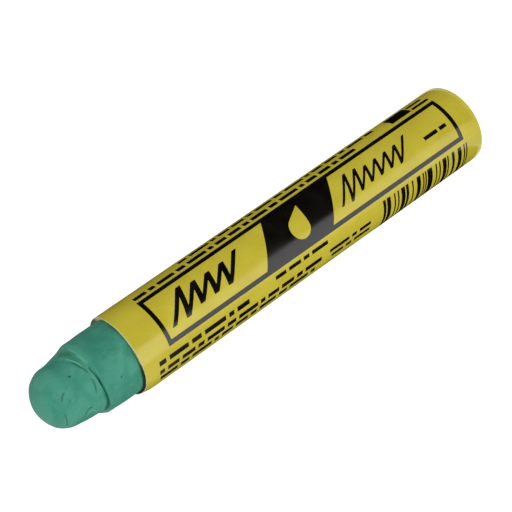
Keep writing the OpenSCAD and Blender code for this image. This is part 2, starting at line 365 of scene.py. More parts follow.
def kraft_cut_material():
    material, tree, shader, place = start_material("kraft_cut", 0.82, 0.1)
    fluff = noise_at(tree, place, 3.0, detail=6, warp=0.6)
    colour = tinted(tree, (212, 202, 152), fluff, 0.35, 0.68, 1, (228, 220, 178))
    distance = tree.nodes.new("ShaderNodeVectorMath")
    distance.operation = "LENGTH"
    tree.links.new(in_cells(tree, place, 1, 0), distance.inputs[0])
    turns = maths(tree, "PINGPONG", distance.outputs["Value"], half_turn_t)
    glue = between(tree, turns, 0.0, 0.02, 0.7, 0)
    colour = blend(tree, glue, colour, (150, 132, 84))
    # Painted shade darkens the cut end on the sides of the mouth and at its back left.
    colour = blend(tree, mark_at(tree, "rim_shade"), colour, (40, 44, 30))
    tree.links.new(colour, shader.inputs["Base Color"])
    ridged = add_bump(tree, shader, glue, 0.4, 0.03)
    add_bump(tree, shader, fluff, 0.5, 0.04, after=ridged)
    return material


def shaded_kraft_material():
    material, tree, shader, place = start_material("shaded_kraft", 0.8, 0.05)
    fibres = noise_at(tree, place, 1.6, detail=6, warp=1.0, along=0.25)
    # This whole colour is painted shade of the narrow gap: dark brown, near black-green in smears.
    colour = tinted(tree, (82, 62, 38), fibres, 0.35, 0.68, 1, (110, 88, 58))
    smears = noise_at(tree, place, 0.35, warp=0.8, along=0.3)
    colour = blend(tree, between(tree, smears, 0.4, 0.6, 0.35, 0.95), colour, (18, 46, 32))
    tree.links.new(colour, shader.inputs["Base Color"])
    add_bump(tree, shader, fibres, 0.5, 0.04)
    return material


kraft_cut = kraft_cut_material()
shaded_kraft = shaded_kraft_material()
print("made", kraft_cut.name, "and", shaded_kraft.name)

# %% [markdown]
# ## Black ink
# The print is a thin even film of black ink with the same soft sheen as the paper under
# it. Fine pinholes and a slight cloudiness keep the large panel from looking flat.


# %% Make the ink
def black_ink_material():
    material, tree, shader, place = start_material("black_ink", 0.22, 0.45)
    clouds = noise_at(tree, place, 0.25)
    colour = tinted(tree, (8, 7, 5), clouds, 0.3, 0.7, 1, (17, 15, 11))
    specks = noise_at(tree, place, 1.6, detail=8)
    colour = tinted(tree, colour, specks, 0.72, 0.76, 0.4, (92, 84, 44))
    tree.links.new(colour, shader.inputs["Base Color"])
    tree.links.new(between(tree, clouds, 0.3, 0.7, 0.18, 0.26), shader.inputs["Roughness"])
    waves = add_bump(tree, shader, noise_at(tree, place, 0.3, detail=2), 0.3, 0.06)
    grain = noise_at(tree, place, 2.4, detail=5, along=0.35)
    add_bump(tree, shader, grain, 0.2, 0.01, after=waves)
    return material


black_ink = black_ink_material()
print("made", black_ink.name)

# %% [markdown]
# ## The cast stick, first as a plain casting
# A stick of paint is poured into a round mould, so its plain form is a half outline turned
# round the axis: a flat back, a long bar and a rounded nose. The outline starts as one
# point that is extruded step by step, with finer steps where the skin will be folded, and
# one spin makes the casting.

# %% Sizes of the nose, in mm
skirt_len = 9.05
skirt_taper = 0.1
soft_step, sharp_step, tip_step = 0.65, 1.08, 1.51
crease_depth = 0.42
tip_len = 5.1
tip_power = 1.98
tip_r = stick_r / MM - tip_step
tip_start = nose_len / MM - tip_len
nose_lean = 0.17 * side(-80)
stick_middle = 0.1 * side(-40)
print("tip starts", round(tip_start, 2), "mm beyond the mouth with radius", round(tip_r, 2))


# %% Turn the plain casting
rows_beyond_mouth = ((-2.4, 11), (1.2, 38), (7.8, 26), (11.6, 54), (tip_start, 23))
tip_rows = 48


def plain_casting():
    """The stick before its skin is folded: straight sides up to the tip's dome."""
    bm = bmesh.new()
    bar = stick_r / MM
    corners = [(0, stick_back / MM, 0), (bar, stick_back / MM, 7)]
    corners += [(bar, mouth / MM + height, rows) for height, rows in rows_beyond_mouth]
    outline = []
    for first, last in zip(corners, corners[1:]):
        outline += [(first[0] + (last[0] - first[0]) * i / last[2],
                     first[1] + (last[1] - first[1]) * i / last[2]) for i in range(1, last[2] + 1)]
    for row in range(1, tip_rows + 1):
        t = math.pi / 2 * row / tip_rows
        r = tip_r * math.cos(t) ** (2 / tip_power) if row < tip_rows else 0
        outline.append((r, mouth / MM + tip_start + tip_len * math.sin(t) ** (2 / tip_power)))
    last = bm.verts.new((0, 0, stick_back))
    for r, z in outline:
        last = bmesh.ops.extrude_vert_indiv(bm, verts=[last])["verts"][0]
        last.co = (r * MM, 0, z * MM)
    bmesh.ops.spin(bm, geom=bm.verts[:] + bm.edges[:], cent=(0, 0, 0), axis=(0, 0, 1),
                   angle=math.tau, steps=360, use_merge=True, use_duplicate=False)
    bmesh.ops.remove_doubles(bm, verts=bm.verts, dist=0.001 * MM)
    bmesh.ops.recalc_face_normals(bm, faces=bm.faces)
    return bm


casting = plain_casting()
print("plain casting has", len(casting.verts), "points")

# %% [markdown]
# ## The slanted mouth
# The mouth of the sleeve isn't cut square: its far side lies about two millimetres further
# back than its front, and one corner of it is worn back by half a millimetre more. The
# label and the tube both end on this cut, and painted shade of the gap lies on the stick
# along it, so the cut comes first.


# %% The slanted cut
cut_slope = math.tan(math.radians(7))
cut_front = side(14)
cut_ahead, worn_back = 0.4 * MM, 0.5 * MM


def cut_back(place):
    """How far the slanted cut lies behind the mouth at a place on the sleeve."""
    turn = turn_of(place)
    worn = worn_back * smooth((-40 - turn) / 36) * smooth((turn + 175) / 60)
    return cut_slope * (label_r - place.dot(cut_front)) - cut_ahead + worn


def gap_shade_at(turn, s):
    """Painted gap shade on the stick at a height: a band along the cut, broad on one side."""
    above = s + cut_back(side(turn) * label_r) / MM
    width = 0.1 + 0.1 * smooth((turn - 30) / 45) + 0.35 * smooth((turn - 78) / 28)
    strength = 0.3 * smooth((turn + 55) / 25) + 0.62 * smooth((turn - 5) / 45)
    return strength * (1 - smooth((turn - 150) / 20)) * (1 - smooth((above - width) / 0.14))


print("the cut runs back", round(cut_slope * 2 * label_r / MM, 2), "mm across the mouth")

# %% [markdown]
# ## Folding the skin
# When the paint dries, its skin shrinks and gathers round the shoulder of the nose. On one
# side the shoulder is a soft slope. On the other the skin hangs over in a sharp lip with a
# deep crease under it and a low ridge beside it. These are functions of the turn and of
# the distance beyond the lip, as in the CAD, but with a finer crease and a lip that really
# overhangs, which a lofted solid can't have.


# %% The form of the shoulder
def on_back(turn):
    """0 on the front of the nose and 1 on its back."""
    return smooth((abs((turn - 12 + 180) % 360 - 180) - 76) / 30)


def creased(turn):
    """How deep the sharp crease is at a turn, from 0 to 1."""
    return smooth((turn + 20) / 75) * (1 - smooth((turn - 86) / 24))


def wander(turn):
    """How far the lip lies from its mean height, in mm."""
    a = math.radians(turn)
    waves = math.cos(2 * a - math.radians(30)) + math.cos(3 * a - math.radians(48))
    return 0.21 * waves - 0.72 * on_back(turn) - 0.12 * hump(turn - 72, 12)


def shoulder(turn, q):
    """Radius and shift along the stick, in mm, at q beyond the lip."""
    sharp, back = creased(turn), on_back(turn)
    step = soft_step + (sharp_step - soft_step) * (
        smooth((turn + 60) / 100) * (1 - smooth((turn - 110) / 70)))
    width = 1.5 - 0.8 * sharp + 1.2 * back
    r = stick_r / MM - skirt_taper * smooth((q + 7) / 6)
    r -= (step - skirt_taper) * smooth(q / width + 0.5)
    r -= (tip_step - step) * smooth(q / (tip_start - skirt_len))
    lip = sharp * (1 - smooth((turn - 74) / 24))
    r -= sharp * crease_depth * hump(q - 0.02, 0.09 + 0.02 * lip)
    r += sharp * 0.18 * hump(q - 0.5, 0.3)  # the ridge beside the crease
    r += lip * 0.06 * hump(q + 0.4, 0.3)  # the edge of the lip
    r += 0.17 * hump(math.hypot((turn - 97) / 6.55, q - 3.7), 1.8)  # a swelling on the neck
    r -= 0.14 * hump(q + 0.3, 0.6) * fade(turn, 98, 24)  # the hollow where the lip ends
    r += 0.14 * hump(q - 0.2, 1.6) * fade(turn, -84, 50)  # the full shoulder opposite
    shift = lip * (0.14 * hump(q + 0.33, 0.28) - 0.2 * hump(q - 0.06, 0.2))
    return r, shift


print("radius at the lip, mm: soft side", round(shoulder(-60, 0)[0], 2),
      "and sharp side", round(shoulder(60, 0)[0], 2))


# %% Shape the nose
def shape_nose(bm):
    """Moves the casting's points to the folded form, and marks painted shade in crease and gap."""
    for name in ("fold", "rub", "dark_green", "gap_shade"):
        bm.verts.layers.float.new(name)
    fold, gap_shade = bm.verts.layers.float["fold"], bm.verts.layers.float["gap_shade"]
    for vert in bm.verts:
        s = (vert.co.z - mouth) / MM
        if s <= -2.3:
            continue
        turn = turn_of(vert.co)
        # Painted shade of the gap along the mouth's cut.
        vert[gap_shade] = gap_shade_at(turn, s)
        if s < tip_start + 0.01:
            q = s - skirt_len
            near = smooth((q + 3) / 3) if q < 0 else 1 - smooth(q / (tip_start - skirt_len))
            r, shift = shoulder(turn, q)
            out = side(turn) * r
            s += wander(turn) * near + shift
            # Painted shade, deepest in the sharp crease.
            vert[fold] = creased(turn) * hump(q - 0.02, 0.13)
        else:
            out = Vector((vert.co.x, vert.co.y, 0)) / MM
        out += nose_lean * smooth((s - skirt_len) / 9)
        vert.co = (out.x * MM, out.y * MM, mouth + s * MM)
    bm.normal_update()


shape_nose(casting)
print("nose shaped, with marks for", ", ".join(casting.verts.layers.float.keys()))

# %% [markdown]
# ## Pressing the small folds
# The finer folds each follow their own short line. The line is walked in small steps, a
# search tree finds the skin's points near each step, and each point moves along its normal
# by a soft groove or ridge that fades at the line's ends. Grooves, rubbed edges and darker
# green lines are marked in the mesh, which colours them later: a groove gets painted shade.


# %% Press grooves and ridges
walk_step = 0.08
search_r = 6.6


def press(bm, tree, line, depth, width, mark, ends, layer="fold"):
    """A groove, or a ridge if the depth is negative, along a line of (turn, height) points."""
    marks = bm.verts.layers.float[layer]
    places = []
    for turn, height in line:
        hit = tree.find(side(turn) * search_r * MM + Vector((0, 0, mouth + height * MM)))
        level = [found[0] for found in tree.find_range(hit[0], 1.2 * MM)]
        places.append(min(level, key=lambda p: abs((p.z - mouth) / MM - height)
                          + abs((turn_of(p) - turn + 180) % 360 - 180) * 0.11))
    touched = {}
    spans = [(b - a).length for a, b in zip(places, places[1:])]
    whole, walked = sum(spans), 0
    for a, b, span in zip(places, places[1:], spans):
        steps = max(2, int(span / (walk_step * MM)))
        for i in range(steps + 1):
            at = (walked + span * i / steps) / whole
            strength = smooth(at / ends) * smooth((1 - at) / ends)
            for place, index, away in tree.find_range(a.lerp(b, i / steps), 2.4 * width * MM):
                value = strength * hump(away / MM, width)
                touched[index] = max(touched.get(index, 0), value)
        walked += span
    for index, value in touched.items():
        vert = bm.verts[index]
        vert.co -= vert.normal * depth * MM * value
        vert[marks] = min(1, vert[marks] + mark * value)


def point_tree(bm):
    """A search tree of the skin's points."""
    bm.verts.ensure_lookup_table()
    tree = kdtree.KDTree(len(bm.verts))
    for i, vert in enumerate(bm.verts):
        tree.insert(vert.co, i)
    tree.balance()
    return tree


skin = point_tree(casting)
print("the search tree holds", len(casting.verts), "points")

# %% Press this marker's folds
# each fold: its line, depth and width in mm, its mark, and the share of its length that fades
small_folds = [
    # main crease, where it starts as a thin line on the soft side
    ([(-6, 9.35), (-2, 9.6), (4, 9.68), (14, 9.52), (24, 9.38), (36, 9.22)], 0.2, 0.15, 0.9, 0.15),
    # second groove, off the soft side of the shoulder, with the low ridge above it
    ([(-34, 11.45), (-26, 11.19), (-20, 11.05), (-13.5, 10.84), (-6.5, 10.5), (1, 10.36),
      (8, 10.15)], 0.18, 0.2, 0.8, 0.25),
    ([(-48, 11.7), (-36, 11.25), (-27, 10.92), (-17, 10.62), (-9, 10.42), (-1, 10.19)],
     -0.12, 0.26, 0.0, 0.3),
    # third groove, along the ridge beside the sharp crease
    ([(9, 10.6), (14, 10.43), (20, 10.38), (28, 10.47), (36, 10.63), (46, 10.78)],
     0.15, 0.19, 0.8, 0.3),
    # short creases that fan out where the soft and sharp sides meet
    ([(-42, 9.1), (-24, 9.5), (-8, 10.05)], 0.06, 0.16, 0.2, 0.3),
    ([(-30, 8.5), (-15, 8.95), (-4, 9.35)], 0.06, 0.14, 0.2, 0.3),
    ([(-12, 7.8), (-8, 8.1), (-5, 8.4)], 0.05, 0.14, 0.3, 0.3),
    # hook-shaped fold with the small flap of skin that it holds
    ([(75, 13.6), (70, 13.57), (65.5, 13.45), (62.5, 13.1), (62, 12.6), (64, 11.9)],
     0.26, 0.2, 0.95, 0.2),
    ([(82, 13.3), (74, 13.0), (69, 12.5), (70, 12.0), (76, 11.4), (86, 10.8)],
     -0.1, 0.34, 0.0, 0.25),
    # wrinkles on the tip
    ([(4, 16.2), (8.5, 16.7), (11.5, 17.1), (17, 17.45), (24, 17.8)], 0.15, 0.17, 0.85, 0.3),
    ([(38, 17.8), (43, 17.85), (52.5, 17.8), (63, 17.7), (75, 17.55), (91, 17.3), (104, 17.0)],
     0.14, 0.16, 0.85, 0.25),
    ([(22, 16.4), (29, 16.35), (35, 16.55)], 0.12, 0.15, 0.6, 0.3),
    ([(-30, 16.0), (-34, 16.7)], 0.06, 0.25, 0.3, 0.3),
    # small nick on the skirt
    ([(35.5, 4.8), (37.5, 5.0), (39.5, 5.22)], 0.13, 0.2, 1.0, 0.3),
]
# each rubbed edge or darker green line: its line, width in mm, and how strongly it is marked
rubbed_lines = [
    ([(-74, 8.8), (-48, 9.13), (-35, 9.22), (-22, 9.36), (-9, 9.47)], 0.16, 0.9),
    ([(-45, 9.95), (-28, 9.57), (-17, 9.5), (-5, 9.54)], 0.13, 0.8),
    ([(-33, 9.0), (-15, 9.25), (-3, 9.2)], 0.12, 0.6),
    ([(-50, 11.75), (-37, 11.3), (-27, 10.95), (-17, 10.66), (-8, 10.45), (0, 10.19)], 0.15, 1.0),
    ([(0, 9.95), (5, 9.9), (17, 9.72), (26, 9.66), (35, 9.65), (50, 9.6)], 0.16, 0.7),
    ([(76, 13.2), (71, 12.95), (67.5, 12.6), (68, 12.1), (74, 11.5), (86, 10.7)], 0.16, 0.9),
]
dark_green_lines = [
    ([(-74, 10.3), (-58, 10.7), (-47, 10.3), (-36, 10.2), (-26, 10.3)], 0.55, 1.0),
    ([(-60, 11.2), (-45, 10.9)], 0.5, 0.6),
    ([(50, 12.0), (62, 12.2)], 0.5, 0.35),
    ([(32, 4.4), (35, 4.75)], 0.16, 0.6),
    ([(11.5, 0.8), (15, 1.0), (18, 1.25)], 0.13, 0.7),
    ([(15.5, 0.55), (19, 0.7), (22.5, 0.9)], 0.13, 0.8),
]
# The folds' marks are painted shade in their grooves.
for line, depth, width, mark, ends in small_folds:
    press(casting, skin, line, depth, width, mark, ends)
for line, width, mark in rubbed_lines:
    press(casting, skin, line, -0.02, width, mark, 0.35, "rub")
for line, width, mark in dark_green_lines:
    press(casting, skin, line, 0, width, mark, 0.4, "dark_green")
print("pressed", len(small_folds), "small folds and rubbed", len(rubbed_lines), "edges")

# %% [markdown]
# ## The pinhole and the uneven cast
# One bubble left a pinhole on the neck, which is a small deep dent with painted shade in
# it. Last, gentle noise moves the whole nose a few hundredths of a millimetre, because a
# cast skin is never perfect, and the stick goes to its place, a little off the middle of
# the tube.


# %% Finish the stick
hole_turn, hole_r, hole_height, hole_depth = -9.4, 6.5, 13.6, 0.4


def finish_stick(bm):
    fold = bm.verts.layers.float["fold"]
    tree = point_tree(bm)
    hole = tree.find(side(hole_turn) * hole_r * MM + Vector((0, 0, mouth + hole_height * MM)))[0]
    for place, index, away in tree.find_range(hole, 0.6 * MM):
        vert = bm.verts[index]
        vert.co -= vert.normal * hole_depth * MM * hump(away / MM, 0.2)
        # Painted shade in the pinhole.
        vert[fold] = min(1, vert[fold] + 2.0 * hump(away / MM, 0.22))
    bm.normal_update()
    for vert in bm.verts:
        s = (vert.co.z - mouth) / MM
        if s > 0.5:
            place = vert.co / MM
            lumps = 0.07 * noise.noise(place * 0.32) + 0.03 * noise.noise(place * 0.85)
            ease = smooth((s - 0.5) / 3) * (1 if s < 18 else smooth((20.4 - s) / 2.4))
            vert.co += vert.normal * lumps * ease * MM
            vert.co.z = min(vert.co.z, mouth + nose_len)
    bmesh.ops.translate(bm, verts=bm.verts, vec=stick_middle * MM)
    finish_piece("stick", bm, [dried_paint], "paint_stick", corner=60)


finish_stick(casting)

# %% [markdown]
# ## The rolled tube
# A paper tube is two walls joined by their cut ends. Two open cylinders and two bridges
# between their rims make that. The rims get a small bevel, because paper never cuts to a
# knife edge. Rows of points just below the mouth let it be slanted, frayed by fine noise,
# and on one side curled in towards the stick.


# %% Wear at the mouth
def sunk(place):
    """How far the tube ends below the label's edge: more on the two sides."""
    turn = turn_of(place)
    right = smooth((turn - 25) / 40) * (1 - smooth((turn - 150) / 25))
    left = smooth((-4 - turn) / 30) * (1 - 0.6 * smooth((-60 - turn) / 18))
    return (0.06 + 0.1 * right + 0.24 * left) * MM


def curl(place, below):
    """How far the paper is bent in, at a distance below the cut."""
    return 0.3 * MM * fade(turn_of(place), 104, 50) * hump(below, 1.5 * MM)


def rim_shade_at(place):
    """How much painted shade the mouth's edge gets: most on the two sides."""
    turn = turn_of(place)
    right = smooth((turn - 20) / 35) * (1 - smooth((turn - 150) / 20))
    return right + 0.45 * smooth((-20 - turn) / 30) + 0.35 * smooth((-50 - turn) / 20)


def mark_rim_shade(bm, inside, outside, between_r):
    """Writes the mouth's painted shade to the mesh, with a share for each face of the paper."""
    layer = bm.verts.layers.float.new("rim_shade")
    for vert in bm.verts:
        share = inside if vert.co.xy.length < between_r else outside
        # Painted shade, darkest at the back left of the mouth.
        back_shade = 0.7 * smooth((-76 - turn_of(vert.co)) / 10)
        vert[layer] = min(1, share * rim_shade_at(vert.co) + back_shade)


print("on the left the tube ends", round(sunk(side(-60)) / MM, 2), "mm below the label")


# %% Make the tube
bore_r = tube_r - 0.3 * MM
paper_gap = 0.003 * MM
rows_below_mouth = (0.5, 1, 1.5, 2, 2.6, 3.3, 4.2)


def make_tube():
    bm = bmesh.new()
    for r in (tube_r - paper_gap, bore_r):
        bmesh.ops.create_cone(bm, cap_ends=False, segments=256, radius1=r, radius2=r, depth=mouth)
    bmesh.ops.translate(bm, verts=bm.verts, vec=(0, 0, mouth / 2))
    for level in (0, mouth):
        rim = [e for e in bm.edges if all(abs(v.co.z - level) < 1e-7 for v in e.verts)]
        bmesh.ops.bridge_loops(bm, edges=rim)
    rims = [e for e in bm.edges if abs(e.verts[0].co.z - e.verts[1].co.z) < 1e-7
            and abs(e.verts[0].co.xy.length - e.verts[1].co.xy.length) < 1e-7]
    bmesh.ops.bevel(bm, geom=rims, affect="EDGES", offset=0.05 * MM, segments=2, profile=0.5,
                    material=-1)
    for below in rows_below_mouth:
        bmesh.ops.bisect_plane(bm, geom=bm.verts[:] + bm.edges[:] + bm.faces[:], dist=1e-7,
                               plane_co=(0, 0, mouth - below * MM), plane_no=(0, 0, 1))
    for vert in bm.verts:
        below = mouth - vert.co.z
        if below < (rows_below_mouth[-1] + 0.1) * MM:
            vert.co.z -= cut_back(vert.co) + sunk(vert.co)
            if below < 0.2 * MM:
                vert.co.z -= (0.04 + 0.05 * noise.noise(vert.co / MM * 0.9)) * MM
            vert.co.xy *= 1 - curl(vert.co, below) / vert.co.xy.length
    bm.normal_update()
    mark_rim_shade(bm, 1, 0.08, (tube_r + bore_r) / 2)
    for face in bm.faces:
        # The walls get the kraft with painted shade; only the inside shows, in the gap.
        face.material_index = 0 if abs(face.normal.z) > 0.35 else 1
    finish_piece("tube", bm, [kraft_cut, shaded_kraft], "paper_tube", corner=50)


make_tube()

# %% [markdown]
# ## The wrapped label
# The label is one sheet that goes once round the tube and climbs over its own start. A
# flat grid is rolled up: along the sheet the radius stays constant and then rises by one
# thickness over a short ramp. Extruding the sheet inwards gives the paper its thickness and
# the lap its real edge. The faces of the cut edges get the cream paper.


# %% Roll the label
lap_start = 50
lap_width, lap_ramp = 3.0, 0.8
outer_gap, inner_gap = 0.002 * MM, 0.004 * MM
crowding = 1.8  # above 1, rows of points gather near the mouth
per_mm_of_arc = 180 / math.pi / (label_r / MM)


def roll_label():
    bm = bmesh.new()
    bmesh.ops.create_grid(bm, x_segments=304, y_segments=48, size=0.5)
    sweep = 360 + lap_width * per_mm_of_arc
    ramp = lap_ramp * per_mm_of_arc
    for vert in bm.verts:
        along, up = vert.co.x + 0.5, vert.co.y + 0.5
        angle = sweep * along
        rise = smooth((angle - 360 + ramp) / ramp) * (label_t + inner_gap)
        flat = Vector((math.cos(math.radians(lap_start + angle)),
                       math.sin(math.radians(lap_start + angle)), 0))
        top = mouth - cut_back(flat * label_r)
        height = top * (1 - (1 - up) ** crowding)
        if up > 0.999:
            height -= (0.03 + 0.04 * noise.noise(Vector((angle * 0.05, 3, 0)))) * MM
        out = label_r + rise - outer_gap - curl(flat, top - height)
        vert.co = flat * out + Vector((0, 0, height))
    made = bmesh.ops.extrude_face_region(bm, geom=bm.faces[:])
    for vert in (g for g in made["geom"] if isinstance(g, bmesh.types.BMVert)):
        vert.co.xy = vert.co.xy * (1 - (label_t - inner_gap) / vert.co.xy.length)
    bm.normal_update()
    mark_rim_shade(bm, 0.3, 0.1, label_r - label_t / 2)
    for face in bm.faces:
        radii = [v.co.xy.length for v in face.verts]
        cut = abs(face.normal.z) > 0.7 or max(radii) - min(radii) > label_t * 0.8
        face.material_index = 1 if cut else 0
    finish_piece("label", bm, [label_paper, cut_paper], "printed_label")


roll_label()

# %% [markdown]
# ## The print, drawn flat and rolled on
# Ink lies on the label as a film a few hundredths of a millimetre thick. Each field is
# drawn flat, with x from the mouth along the marker and y round it, then given its
# thickness, cut into narrow strips so that it can bend, and rolled onto the label. The
# sheet was wrapped a little askew, so one side of the print bows back by a third of a
# millimetre. Each film starts a hair inside the label, so it never floats.

# %% Layout of the print, in mm
ink_t, ink_root, strip_width = 0.028, 0.006, 0.2
frame_start, frame_length, frame_height, rule_width = 7.05, 87.55, 11.3, 1.0
panel_mid, panel_length, panel_lean = 47.75, 19.5, math.radians(33)
frame_end = frame_start + frame_length
row_up, row_gap = frame_height / 2 - 0.15, 1.2
print_bow = 0.38
print("frame from", frame_start, "to", frame_end, "mm from the mouth")


# %% Helpers for flat fields
def field(bm, x, length, low, height):
    """A flat rectangle of ink, in mm."""
    verts = bmesh.ops.create_grid(bm, x_segments=1, y_segments=1, size=0.5)["verts"]
    bmesh.ops.scale(bm, vec=(length, height, 1), verts=verts)
    bmesh.ops.translate(bm, vec=(x + length / 2, low + height / 2, 0), verts=verts)
    return verts


def roll_on(name, bm, film=ink_t):
    """Gives the flat drawing its thickness, and rolls it onto the label."""
    bmesh.ops.triangulate(bm, faces=[f for f in bm.faces if len(f.verts) > 4])
    made = bmesh.ops.extrude_face_region(bm, geom=bm.faces[:])
    raised = [g for g in made["geom"] if isinstance(g, bmesh.types.BMVert)]
    bmesh.ops.translate(bm, vec=(0, 0, film + ink_root), verts=raised)
    low = min(v.co.y for v in bm.verts)
    high = max(v.co.y for v in bm.verts)
    for i in range(math.floor(low / strip_width) + 1, math.ceil(high / strip_width)):
        bmesh.ops.bisect_plane(bm, geom=bm.verts[:] + bm.edges[:] + bm.faces[:], dist=1e-5,
                               plane_co=(0, i * strip_width, 0), plane_no=(0, 1, 0))
    for vert in bm.verts:
        x, y, rise = vert.co
        x += print_bow * min(max(y / row_up, 0), 1) ** 2
        angle = y / (label_r / MM)
        r = label_r + (rise - ink_root) * MM
        vert.co = (r * math.sin(angle), -r * math.cos(angle), mouth - x * MM)
    finish_piece(name, bm, [black_ink], "label_print")


print("one strip turns by", round(math.degrees(strip_width * MM / label_r), 2), "degrees")

# %% [markdown]
# ## The long frame and the solid block
# Insetting a rectangle gives the frame's rule an even width and clean corners, and its
# middle is then deleted. The block is a rectangle.


# %% Draw the frame and the solid block
def print_frame():
    bm = bmesh.new()
    field(bm, frame_start, frame_length, -frame_height / 2, frame_height)
    bmesh.ops.inset_region(bm, faces=bm.faces[:], thickness=rule_width, use_boundary=True,
                           use_even_offset=True)
    middle = min(bm.faces, key=lambda f: (f.calc_center_median()
                                          - Vector(((frame_start + frame_end) / 2, 0, 0))).length)
    bmesh.ops.delete(bm, geom=[middle], context="FACES_ONLY")
    roll_on("print_frame", bm)


def print_block():
    bm = bmesh.new()
    field(bm, frame_end - 11.4, 6, row_up + row_gap, 3.2)
    roll_on("print_block", bm)


print_frame()
print_block()

# %% [markdown]
# ## The black panel with its open drop
# The panel is a leaning four-sided field. A drop is left open in it, and the yellow label
# shows through. The drop starts as a circle, and the points near its top move out to the
# two straight sides that meet in a tip. One fill between the two outlines makes the panel.


# %% Draw the panel
def print_panel():
    bm = bmesh.new()
    top = (frame_height - rule_width) / 2
    verts = field(bm, panel_mid - panel_length / 2, panel_length, -top, 2 * top)
    for vert in verts:
        vert.co.x += vert.co.y * math.tan(panel_lean)
    bmesh.ops.delete(bm, geom=bm.faces[:], context="FACES_ONLY")
    belly, tip_reach = 2.5, 2.1
    drop = bmesh.ops.create_circle(bm, cap_ends=False, segments=72, radius=belly)["verts"]
    touch = math.acos(1 / tip_reach)
    for vert in drop:
        angle = abs(math.atan2(vert.co.y, vert.co.x))
        if angle < touch:
            vert.co = vert.co / math.cos(touch - angle)
    bmesh.ops.translate(bm, verts=drop, vec=(-belly / 2, 0, 0))
    bmesh.ops.rotate(bm, verts=drop, cent=(0, 0, 0),
                     matrix=Matrix.Rotation(math.pi / 2 - panel_lean, 3, "Z"))
    bmesh.ops.translate(bm, verts=drop, vec=(panel_mid, 0, 0))
    bmesh.ops.triangle_fill(bm, use_beauty=True, edges=bm.edges[:])
    roll_on("print_panel", bm, film=ink_t - 0.002)


print_panel()

# %% [markdown]
# ## Scribbles
# Two leaning scribbles fill the frame beside the panel, as a hand would try out a broad
# pen. The nib is flat, so a stroke keeps its width along x. The outline of the whole zigzag
# is one closed line, extruded from point to point and filled, and a bevel of its points
# rounds the corners.


# %% Draw the scribbles
def crossing(p, q, r, s):
    """Where the line through p and q meets the line through r and s."""
    u, v = q - p, s - r
    return p + u * ((r - p).cross(v) / u.cross(v))


def zigzag_outline(points, nib):
    """The closed outline of a zigzag with a flat nib, from a low point to a high one."""
    half = Vector((nib / 2, 0))
    over, under = [points[0] - half], [points[0] + half]
    for i in range(1, len(points) - 1):
        before, here, after = points[i - 1:i + 2]
        outer = [here - half, here + half]
        inner = [crossing(before + half, here + half, here - half, after - half)]
        over += outer if i % 2 else inner
        under += inner if i % 2 else outer
    return over + [points[-1] - half, points[-1] + half] + under[::-1]


def print_scribble(name, start, length, tall, low, strokes, nib):
    """A scribble of an odd number of strokes, tallest a little after its start."""
    points = []
    for i in range(strokes + 1):
        reach = low + (tall - low) * fade(360 * i / strokes, 40, 110)
        y = reach if i % 2 else -reach
        points.append(Vector((start + length * i / strokes + y * math.tan(panel_lean), y)))
    bm = bmesh.new()
    outline = [Vector((*p, 0)) for p in zigzag_outline(points, nib)]
    first = last = bm.verts.new(outline[0])
    for place in outline[1:]:
        last = bmesh.ops.extrude_vert_indiv(bm, verts=[last])["verts"][0]
        last.co = place
    bmesh.ops.contextual_create(bm, geom=[last, first])
    bmesh.ops.edgeloop_fill(bm, edges=bm.edges[:])
    bmesh.ops.bevel(bm, geom=bm.verts[:], affect="VERTICES", offset=0.16, segments=3,
                    profile=0.5, material=-1)
    roll_on(name, bm)


print_scribble("print_bold_scribble", frame_start + 5, 17.6, 3.3, 2.3, 9, 1.25)
print_scribble("print_fine_scribble", panel_mid + 12.7, 19.6, 3.0, 1.9, 13, 0.75)

# %% [markdown]
# ## Rows of dashes and the block of bars
# The rows are plain dashes of mixed lengths and the bars are stripes of mixed widths, which
# give the label its printed look. Both are fields spread over a length, so one helper lays
# them out.


# %% Lay out the rows
def spread(bm, x, length, low, height, widths, gaps):
    """A row of fields with these widths and gaps, spread over a length."""
    unit = length / (sum(widths) + sum(gaps[:len(widths) - 1]))
    for width, gap in zip(widths, gaps):
        field(bm, x, width * unit, low, height)
        x += (width + gap) * unit


dash_lengths = [3.4, 1.6, 4.6, 2.3, 5.2, 1.2, 3]
bars_length, bars_height, bar_count = 26.6, 10, 19
# each row: where it starts, its length, middle and height in mm, and its first dash
dash_rows = [
    (0.5, 64, row_up + 1.45, 1.05, 0),
    (14.8, 57.5, row_up + 3.8, 1.05, 3),
    (82.6, 4.4, row_up + 3.2, 0.8, 0),
    (82.6, 5, row_up + 1.5, 0.8, 4),
    (78.3, 6.8, -0.8, 0.8, 2),
    (-3.4, 25, -row_up - 2.3, 1.05, 1),
    (29.4, 15.3, -row_up - 1.5, 0.8, 6),
    (-3.4, 46, -row_up - 4.45, 1.05, 5),
    (-3.1, 44, -row_up - 6.3, 1.05, 2),
    (45.1, 12.4, -row_up - 4.1, 0.8, 4),
    (45.8, 11.5, -row_up - 5.7, 0.8, 0),
]


def print_rows():
    bm = bmesh.new()
    for x, length, middle, height, first in dash_rows:
        count = max(1, round(length / 3.85))
        widths = [dash_lengths[(i + first) % len(dash_lengths)] for i in range(count)]
        spread(bm, frame_start + x, length, middle - height / 2, height, widths, [0.85] * count)
    roll_on("print_rows", bm)


def print_bars():
    bm = bmesh.new()
    widths = [1 + (i * i + i) % 3 + (1 if i % 5 == 0 else 0) for i in range(bar_count)]
    gaps = [1 + (2 * i + i // 3) % 3 for i in range(bar_count)]
    spread(bm, frame_end + 0.6 - bars_length, bars_length, -row_up - row_gap - bars_height,
           bars_height, widths, gaps)
    roll_on("print_bars", bm)


print_rows()
print_bars()

# %% [markdown]
# ## The floor and the backdrop
# The photograph has a plain white ground. The floor is pale and shows a little brighter to
# the camera and in reflections, which Light Path tells apart. The light it throws on the
# marker stays that of a plain pale floor, and it still takes the marker's soft shadow.


